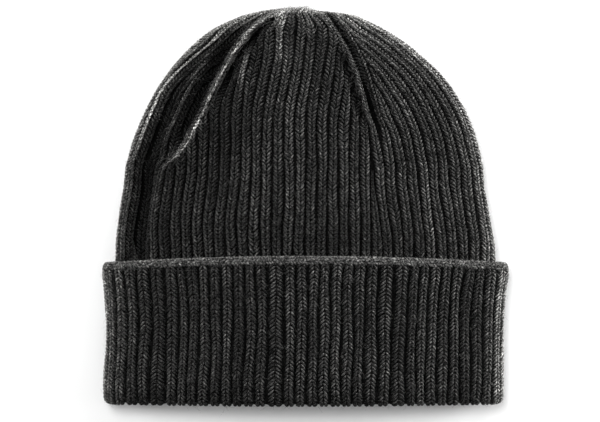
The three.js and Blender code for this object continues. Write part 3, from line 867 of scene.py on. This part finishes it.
def fibre_mesh(name, skin, first_row, last_row, count, seed):
    """Fine, bent, tapered fibres that stand off the yarn."""
    noise = np.random.default_rng(seed)
    row = noise.uniform(first_row, last_row, count)
    share = noise.random(count)
    root = sample(skin["points"], row, share)
    normal = sample(skin["normals"], row, share)
    heading = noise.normal(0, 1, (count, 3))
    heading -= normal * np.sum(heading * normal, axis=1, keepdims=True)
    heading /= np.linalg.norm(heading, axis=1, keepdims=True)
    bend = np.cross(normal, heading) * noise.normal(0, FIBRE_BEND, count)[:, None]
    rise = FIBRE_RISE * noise.random(count)[:, None]
    length = FIBRE_LENGTH * np.exp(FIBRE_NOISE * noise.normal(0, 1, count))[:, None]
    bottom = root - normal * YARN_RADIUS * FIBRE_ROOT
    places = []
    for t in FIBRE_PLACES:
        lift = normal * rise * (t - FIBRE_DROOP * t * t)
        places.append(bottom + length * (heading * t + lift + bend * t * t))
    centre = np.stack(places, 1)
    centre[..., 2] = np.maximum(centre[..., 2], FIBRE_RADIUS)
    side = np.cross(normal, heading)
    rings = []
    for place in range(2):
        size = FIBRE_RADIUS * (1 - FIBRE_TAPER * place)
        for turn in range(FIBRE_SIDES):
            angle = turn * 2 * math.pi / FIBRE_SIDES
            rings.append(centre[:, place] + size * (side * math.cos(angle) + normal * math.sin(angle)))
    points = np.concatenate([np.stack(rings, 1), centre[:, 2:]], 1)
    point_count = points.shape[1]
    pattern = [[0, 2, 1]]
    for low in range(FIBRE_SIDES):
        low_after = (low + 1) % FIBRE_SIDES
        high = FIBRE_SIDES + low
        high_after = FIBRE_SIDES + low_after
        pattern += [[low, low_after, high_after], [low, high_after, high]]
        pattern += [[high, high_after, point_count - 1]]
    starts = (np.arange(count) * point_count)[:, None, None]
    faces = (np.array(pattern)[None] + starts).reshape(-1, 3).tolist()
    # Each fibre takes the skin's painted light and shade where it roots
    shade = np.repeat(FIBRE_TONE * shade_at(skin, row, share), point_count)
    return make_mesh(name, points, faces, {"shade": shade}, smooth_shaded=False)


SIDES = 6


def leg_mesh(name, legs, chosen):
    """Closed spindles through the stations."""
    centre = legs["centre"][chosen]
    normal = legs["normal"][chosen]
    side_size = legs["side_size"][chosen]
    up_size = legs["up_size"][chosen]
    tangent = np.gradient(centre, axis=1)
    tangent /= np.linalg.norm(tangent, axis=2, keepdims=True)
    across = np.cross(normal, tangent)
    across /= np.linalg.norm(across, axis=2, keepdims=True)
    up = np.cross(tangent, across)
    angle = np.arange(SIDES) / SIDES * 2 * math.pi
    inner = slice(1, 4)
    sideways = np.cos(angle)[None, None, :, None] * side_size[:, inner, None, None]
    upwards = np.sin(angle)[None, None, :, None] * up_size[:, inner, None, None]
    rings = centre[:, inner, None, :]
    rings = rings + across[:, inner, None, :] * sideways + up[:, inner, None, :] * upwards
    count = len(centre)
    rings = rings.reshape(count, 3 * SIDES, 3)
    points = np.concatenate([centre[:, :1], rings, centre[:, -1:]], 1)
    size = 3 * SIDES + 2
    ring_starts = [1, 1 + SIDES, 1 + 2 * SIDES]
    turns = [(turn, (turn + 1) % SIDES) for turn in range(SIDES)]
    ends = [[0, ring_starts[0] + b, ring_starts[0] + a] for a, b in turns]
    ends += [[size - 1, ring_starts[2] + a, ring_starts[2] + b] for a, b in turns]
    walls = [
        [low + a, low + b, high + b, high + a]
        for low, high in zip(ring_starts, ring_starts[1:])
        for a, b in turns
    ]
    starts = (np.arange(count) * size)[:, None, None]
    faces = (np.array(ends)[None] + starts).reshape(-1, 3).tolist()
    faces += (np.array(walls)[None] + starts).reshape(-1, 4).tolist()
    shade = legs["shade"][chosen]
    # Painted shade: each stitch is painted darker towards its underside
    round_it = lerp(PAINTED_UNDER_SHADE, 1, (1 + np.sin(angle)) / 2)
    ring_shade = (shade[:, inner, None] * round_it[None, None, :]).reshape(count, 3 * SIDES)
    shade = np.concatenate([shade[:, :1], ring_shade, shade[:, -1:]], 1)
    return make_mesh(name, points, faces, {"shade": shade.ravel()})


# The greys of the wool, from the darkest fibres to the lightest
DARK_GREY = (0.0076, 0.0075, 0.0073)
GREY = (0.0243, 0.0241, 0.0233)
LIGHT_GREY = (0.091, 0.09, 0.0872)


def add_node(tree, kind, **settings):
    node = tree.nodes.new(kind)
    for key, value in settings.items():
        setattr(node, key, value)
    return node


def noise_texture(tree, scale, detail):
    texture = add_node(tree, "ShaderNodeTexNoise")
    texture.inputs["Scale"].default_value = scale
    texture.inputs["Detail"].default_value = detail
    return texture


def map_range(tree, value, low, high, to_low, to_high):
    mapped = add_node(tree, "ShaderNodeMapRange")
    mapped.inputs["From Min"].default_value = low
    mapped.inputs["From Max"].default_value = high
    mapped.inputs["To Min"].default_value = to_low
    mapped.inputs["To Max"].default_value = to_high
    tree.links.new(value, mapped.inputs["Value"])
    return mapped.outputs["Result"]


def product(tree, first, second):
    made = add_node(tree, "ShaderNodeMath", operation="MULTIPLY")
    tree.links.new(first, made.inputs[0])
    tree.links.new(second, made.inputs[1])
    return made.outputs[0]


def wool_material(name):
    """Carded wool of several greys, with fine fibres."""
    material = bpy.data.materials.new(name)
    material.use_nodes = True
    tree = material.node_tree
    links = tree.links
    shader = tree.nodes["Principled BSDF"]
    shader.inputs["Roughness"].default_value = 0.92
    shader.inputs["Sheen Weight"].default_value = 0.12
    shader.inputs["Sheen Roughness"].default_value = 0.3
    shader.inputs["Specular IOR Level"].default_value = 0.02
    coordinates = add_node(tree, "ShaderNodeTexCoord")
    fibre = noise_texture(tree, 2600, 3)
    fibre.inputs["Roughness"].default_value = 0.65
    heather = noise_texture(tree, 1200, 2)
    patch = noise_texture(tree, 45, 2)
    for texture in (fibre, heather, patch):
        links.new(coordinates.outputs["Object"], texture.inputs["Vector"])
    # The shade attribute: painted shade and painted highlights, and the wool's random tone
    tone = add_node(tree, "ShaderNodeAttribute", attribute_name="shade")
    fine_ramp = add_node(tree, "ShaderNodeValToRGB")
    fine_ramp.color_ramp.elements[0].position = 0.36
    fine_ramp.color_ramp.elements[0].color = (*DARK_GREY, 1)
    fine_ramp.color_ramp.elements[1].position = 0.7
    fine_ramp.color_ramp.elements[1].color = (*LIGHT_GREY, 1)
    middle = fine_ramp.color_ramp.elements.new(0.52)
    middle.color = (*GREY, 1)
    links.new(fibre.outputs["Fac"], fine_ramp.inputs["Fac"])
    spread = map_range(tree, heather.outputs["Fac"], 0.35, 0.65, 0.05, 2.1)
    wide = map_range(tree, patch.outputs["Fac"], 0.3, 0.7, 0.9, 1.1)
    factor = product(tree, product(tree, tone.outputs["Fac"], spread), wide)
    tinted = add_node(tree, "ShaderNodeVectorMath", operation="SCALE")
    links.new(fine_ramp.outputs["Color"], tinted.inputs[0])
    links.new(factor, tinted.inputs["Scale"])
    links.new(tinted.outputs["Vector"], shader.inputs["Base Color"])
    bump = add_node(tree, "ShaderNodeBump")
    bump.inputs["Strength"].default_value = 0.6
    bump.inputs["Distance"].default_value = 0.0002
    links.new(fibre.outputs["Fac"], bump.inputs["Height"])
    links.new(bump.outputs["Normal"], shader.inputs["Normal"])
    return material


crown_wool = wool_material("crown_wool")
cuff_wool = wool_material("cuff_wool")


def finish_piece(piece, material):
    piece.data.materials.append(material)
    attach(piece, "root")


def in_parts(places, counts):
    """Rows between the given places, so many up to each, without doubles."""
    parts = [np.linspace(*span, count + 1)[:-1] for span, count in zip(zip(places, places[1:]), counts)]
    return np.concatenate([*parts, places[-1:]])


# The crown's body: the outside, the inside, and the mouth's edge between them
CROWN_ROUND = 400
OUTER_COUNTS = (11, 121)
INNER_COUNTS = (7, 33)
INNER_RIB_DEPTH = 0.9
INNER_END = 5  # the inside's last row lies this many rows below the outside's
outer_rows = in_parts((0, HIDDEN_ROWS, crown_last), OUTER_COUNTS)
outer, outer_shade = sheet_points(crown, outer_rows, CROWN_ROUND, RIB_DEPTH, SHEET_DEPTH)
inner_rows = in_parts((0, HIDDEN_ROWS, crown_last - INNER_END), INNER_COUNTS)
inner, _ = sheet_points(crown, inner_rows, CROWN_ROUND, INNER_RIB_DEPTH, CROWN_WALL)
inner_tip = tip - np.array([0, CROWN_WALL, 0])
outer_tip = tip - np.array([0, SHEET_DEPTH, 0])
points = np.concatenate([inner[::-1].reshape(-1, 3), outer.reshape(-1, 3), [inner_tip], [outer_tip]])
row_count = len(inner_rows) + len(outer_rows)
faces = grid_faces(row_count, CROWN_ROUND)
pole = row_count * CROWN_ROUND
top = pole - CROWN_ROUND
around = np.arange(CROWN_ROUND)
after = (around + 1) % CROWN_ROUND
faces += np.stack([np.full(CROWN_ROUND, pole), after, around], 1).tolist()
faces += np.stack([top + around, top + after, np.full(CROWN_ROUND, pole + 1)], 1).tolist()
shade = np.concatenate([np.ones(inner[..., 0].size), outer_shade.ravel(), [1, 1]])
crown_sheet = make_mesh("crown_sheet", points, faces, {"shade": shade})
finish_piece(crown_sheet, crown_wool)
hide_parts("crown")

# The cuff's body
CUFF_ROUND = 432
CUFF_COUNTS = (7, 31, 6)
CUFF_INNER_COUNT = 8
CUFF_INNER_TOP = CUFF_HEIGHT - 1.5 * RIM_ROUND
cuff_outer_rows = in_parts((0, OUTSIDE_START, RIM_START, cuff_last), CUFF_COUNTS)
cuff_outer, cuff_shade = sheet_points(cuff, cuff_outer_rows, CUFF_ROUND, RIB_DEPTH, SHEET_DEPTH)
inner_heights = np.linspace(CUFF_INNER_TOP, LIP_HEIGHT, CUFF_INNER_COUNT + 1)
inner_outline = outlines(cuff_sections(inner_heights))
x, z, out_x, out_z = resampled(inner_outline, CUFF_ROUND)
x = x - out_x * CUFF_WALL
z = z - out_z * CUFF_WALL
y = inner_heights[:, None] + bow_at(x, inner_heights[:, None])
cuff_inner = np.stack([x, y, z], 2)
points = np.concatenate([cuff_outer.reshape(-1, 3), cuff_inner.reshape(-1, 3)])
row_count = len(cuff_outer_rows) + len(inner_heights)
faces = grid_faces(row_count, CUFF_ROUND, closed_rows=True)
shade = np.concatenate([cuff_shade.ravel(), np.ones(cuff_inner[..., 0].size)])
cuff_sheet = make_mesh("cuff_sheet", points, faces, {"shade": shade})
finish_piece(cuff_sheet, cuff_wool)
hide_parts("cuff")

# The stitches between these rows. The cuff is turned up, so its stitches point the other way.
CROWN_KNIT = (HIDDEN_ROWS - 2, crown_last - 4)
CUFF_KNIT = (4, RIM_START + 0.5)
crown_legs = legs_on(crown, *CROWN_KNIT, 1, SEEDS["crown_knit"])
cuff_legs = legs_on(cuff, *CUFF_KNIT, -1, SEEDS["cuff_knit"])
for name, legs, material, slot, half in (
    ("crown_knit", crown_legs, crown_wool, "crown_wool", CROWN_SIDE_RADIUS),
    ("cuff_knit", cuff_legs, cuff_wool, "cuff_wool", CUFF_SIDE_RADIUS),
):
    on_front = legs["centre"][:, 2, 2] > half
    finish_piece(leg_mesh(name + "_front", legs, on_front), material)
    finish_piece(leg_mesh(name + "_back", legs, ~on_front), material)

rim_edge = leg_mesh("rim_edge", edge_legs(cuff, RIM_START, SEEDS["rim_edge"]), slice(None))
finish_piece(rim_edge, cuff_wool)

# The loose fibres: first and last row, and how many
CROWN_FIBRES = (HIDDEN_ROWS + 4, crown_last - 1, 5000)
CUFF_FIBRES = (OUTSIDE_START - 4, RIM_START + 5, 3500)
crown_fuzz = fibre_mesh("crown_fuzz", crown, *CROWN_FIBRES, SEEDS["crown_fuzz"])
finish_piece(crown_fuzz, crown_wool)
cuff_fuzz = fibre_mesh("cuff_fuzz", cuff, *CUFF_FIBRES, SEEDS["cuff_fuzz"])
finish_piece(cuff_fuzz, cuff_wool)

# The floor
FLOOR_SIZE = 3.0  # metres
FLOOR_COLOUR = (0.75, 0.75, 0.75, 1)
floor_material = bpy.data.materials.new("pale_floor")
floor_material.use_nodes = True
floor_shader = floor_material.node_tree.nodes["Principled BSDF"]
floor_shader.inputs["Base Color"].default_value = FLOOR_COLOUR
floor_shader.inputs["Roughness"].default_value = 0.9
floor_shader.inputs["Specular IOR Level"].default_value = 0.1
bpy.ops.mesh.primitive_plane_add(size=FLOOR_SIZE, location=(0, 0, 0))
floor = bpy.context.object
floor.name = "floor"
floor.data.materials.append(floor_material)

# Light: a bright room, a soft lamp overhead, and low soft lamps all round
world = bpy.data.worlds.new("room")
bpy.context.scene.world = world
world.use_nodes = True
world.node_tree.nodes["Background"].inputs["Color"].default_value = (1, 1, 1, 1)
world.node_tree.nodes["Background"].inputs["Strength"].default_value = 0.3


def soft_lamp(name, place, width, height, power):
    """A soft lamp that is aimed at the origin."""
    light = bpy.data.lights.new(name, "AREA")
    light.shape = "RECTANGLE"
    light.size = width
    light.size_y = height
    light.energy = power
    lamp = bpy.data.objects.new(name, light)
    bpy.context.scene.collection.objects.link(lamp)
    lamp.location = place
    direction = -np.array(place)
    lamp.rotation_euler = (
        math.acos(-direction[2] / np.linalg.norm(direction)),
        0,
        math.atan2(direction[1], direction[0]) - math.pi / 2,
    )


# Name, place, width and height in metres, and watts
LAMPS = (
    ("overhead", (-0.4, 0.5, 1.6), 0.8, 0.8, 26.5),
    ("beyond", (0.3, 1.7, 0.18), 1.0, 0.25, 75),
    ("left", (-1.6, 0.6, 0.14), 1.0, 0.22, 40),
    ("right", (1.6, 0.3, 0.2), 1.0, 0.25, 75),
    ("front", (0.2, -1.7, 0.4), 1.0, 0.4, 6),
)
for lamp in LAMPS:
    soft_lamp(*lamp)

# Camera: straight above, with a long lens
FRAME_WIDTH = 325.9 * MM
SCALE_HEIGHT = 9 * MM  # the frame is that wide at this height
VIEW_CENTRE = (-3.0, 104.8, 0)
LENS = 100.0
SENSOR = 36.0
camera_data = bpy.data.cameras.new("camera")
camera_data.lens = LENS
camera_data.sensor_width = SENSOR
camera = bpy.data.objects.new("camera", camera_data)
bpy.context.scene.collection.objects.link(camera)
camera.location = (*to_frame(VIEW_CENTRE)[:2], SCALE_HEIGHT + FRAME_WIDTH * LENS / SENSOR)
bpy.context.scene.camera = camera
bpy.context.scene.view_settings.view_transform = "Standard"
